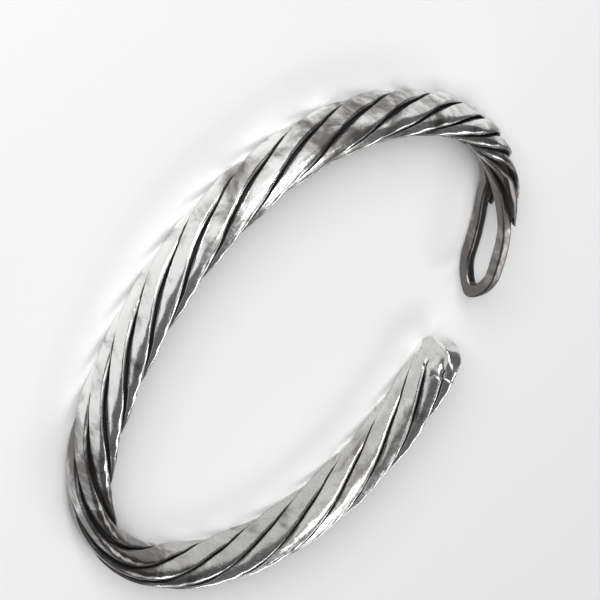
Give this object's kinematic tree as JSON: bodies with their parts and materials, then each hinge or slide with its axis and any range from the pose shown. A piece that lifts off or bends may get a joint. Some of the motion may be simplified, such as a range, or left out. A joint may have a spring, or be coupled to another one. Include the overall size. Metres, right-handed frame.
{
  "type": "twisted wire cuff bangle",
  "caption": "Open oval cuff of six silver strands twisted into one flat band, with a long wire eye at one end and a rounded soldered tip at the other.",
  "frame": {"origin": "on the surface that the bangle lies on, under the middle of its bounding box", "axes": "+Z along the axis of the oval, out of its side; X along the oval's long way; the gap between the ends is on the +Y side"},
  "size_m": [0.0666, 0.0548, 0.0064],
  "materials": {
    "wire_silver": "polished silver with black oxidised grooves",
    "tip_silver": "polished soldered silver, softly hammered"
  },
  "bodies": {
    "root": {"eye_wire": "wire_silver", "strand_1": "wire_silver", "strand_2": "wire_silver", "strand_3": "wire_silver", "strand_4": "wire_silver", "end_tip": "tip_silver"}
  },
  "joints": []
}
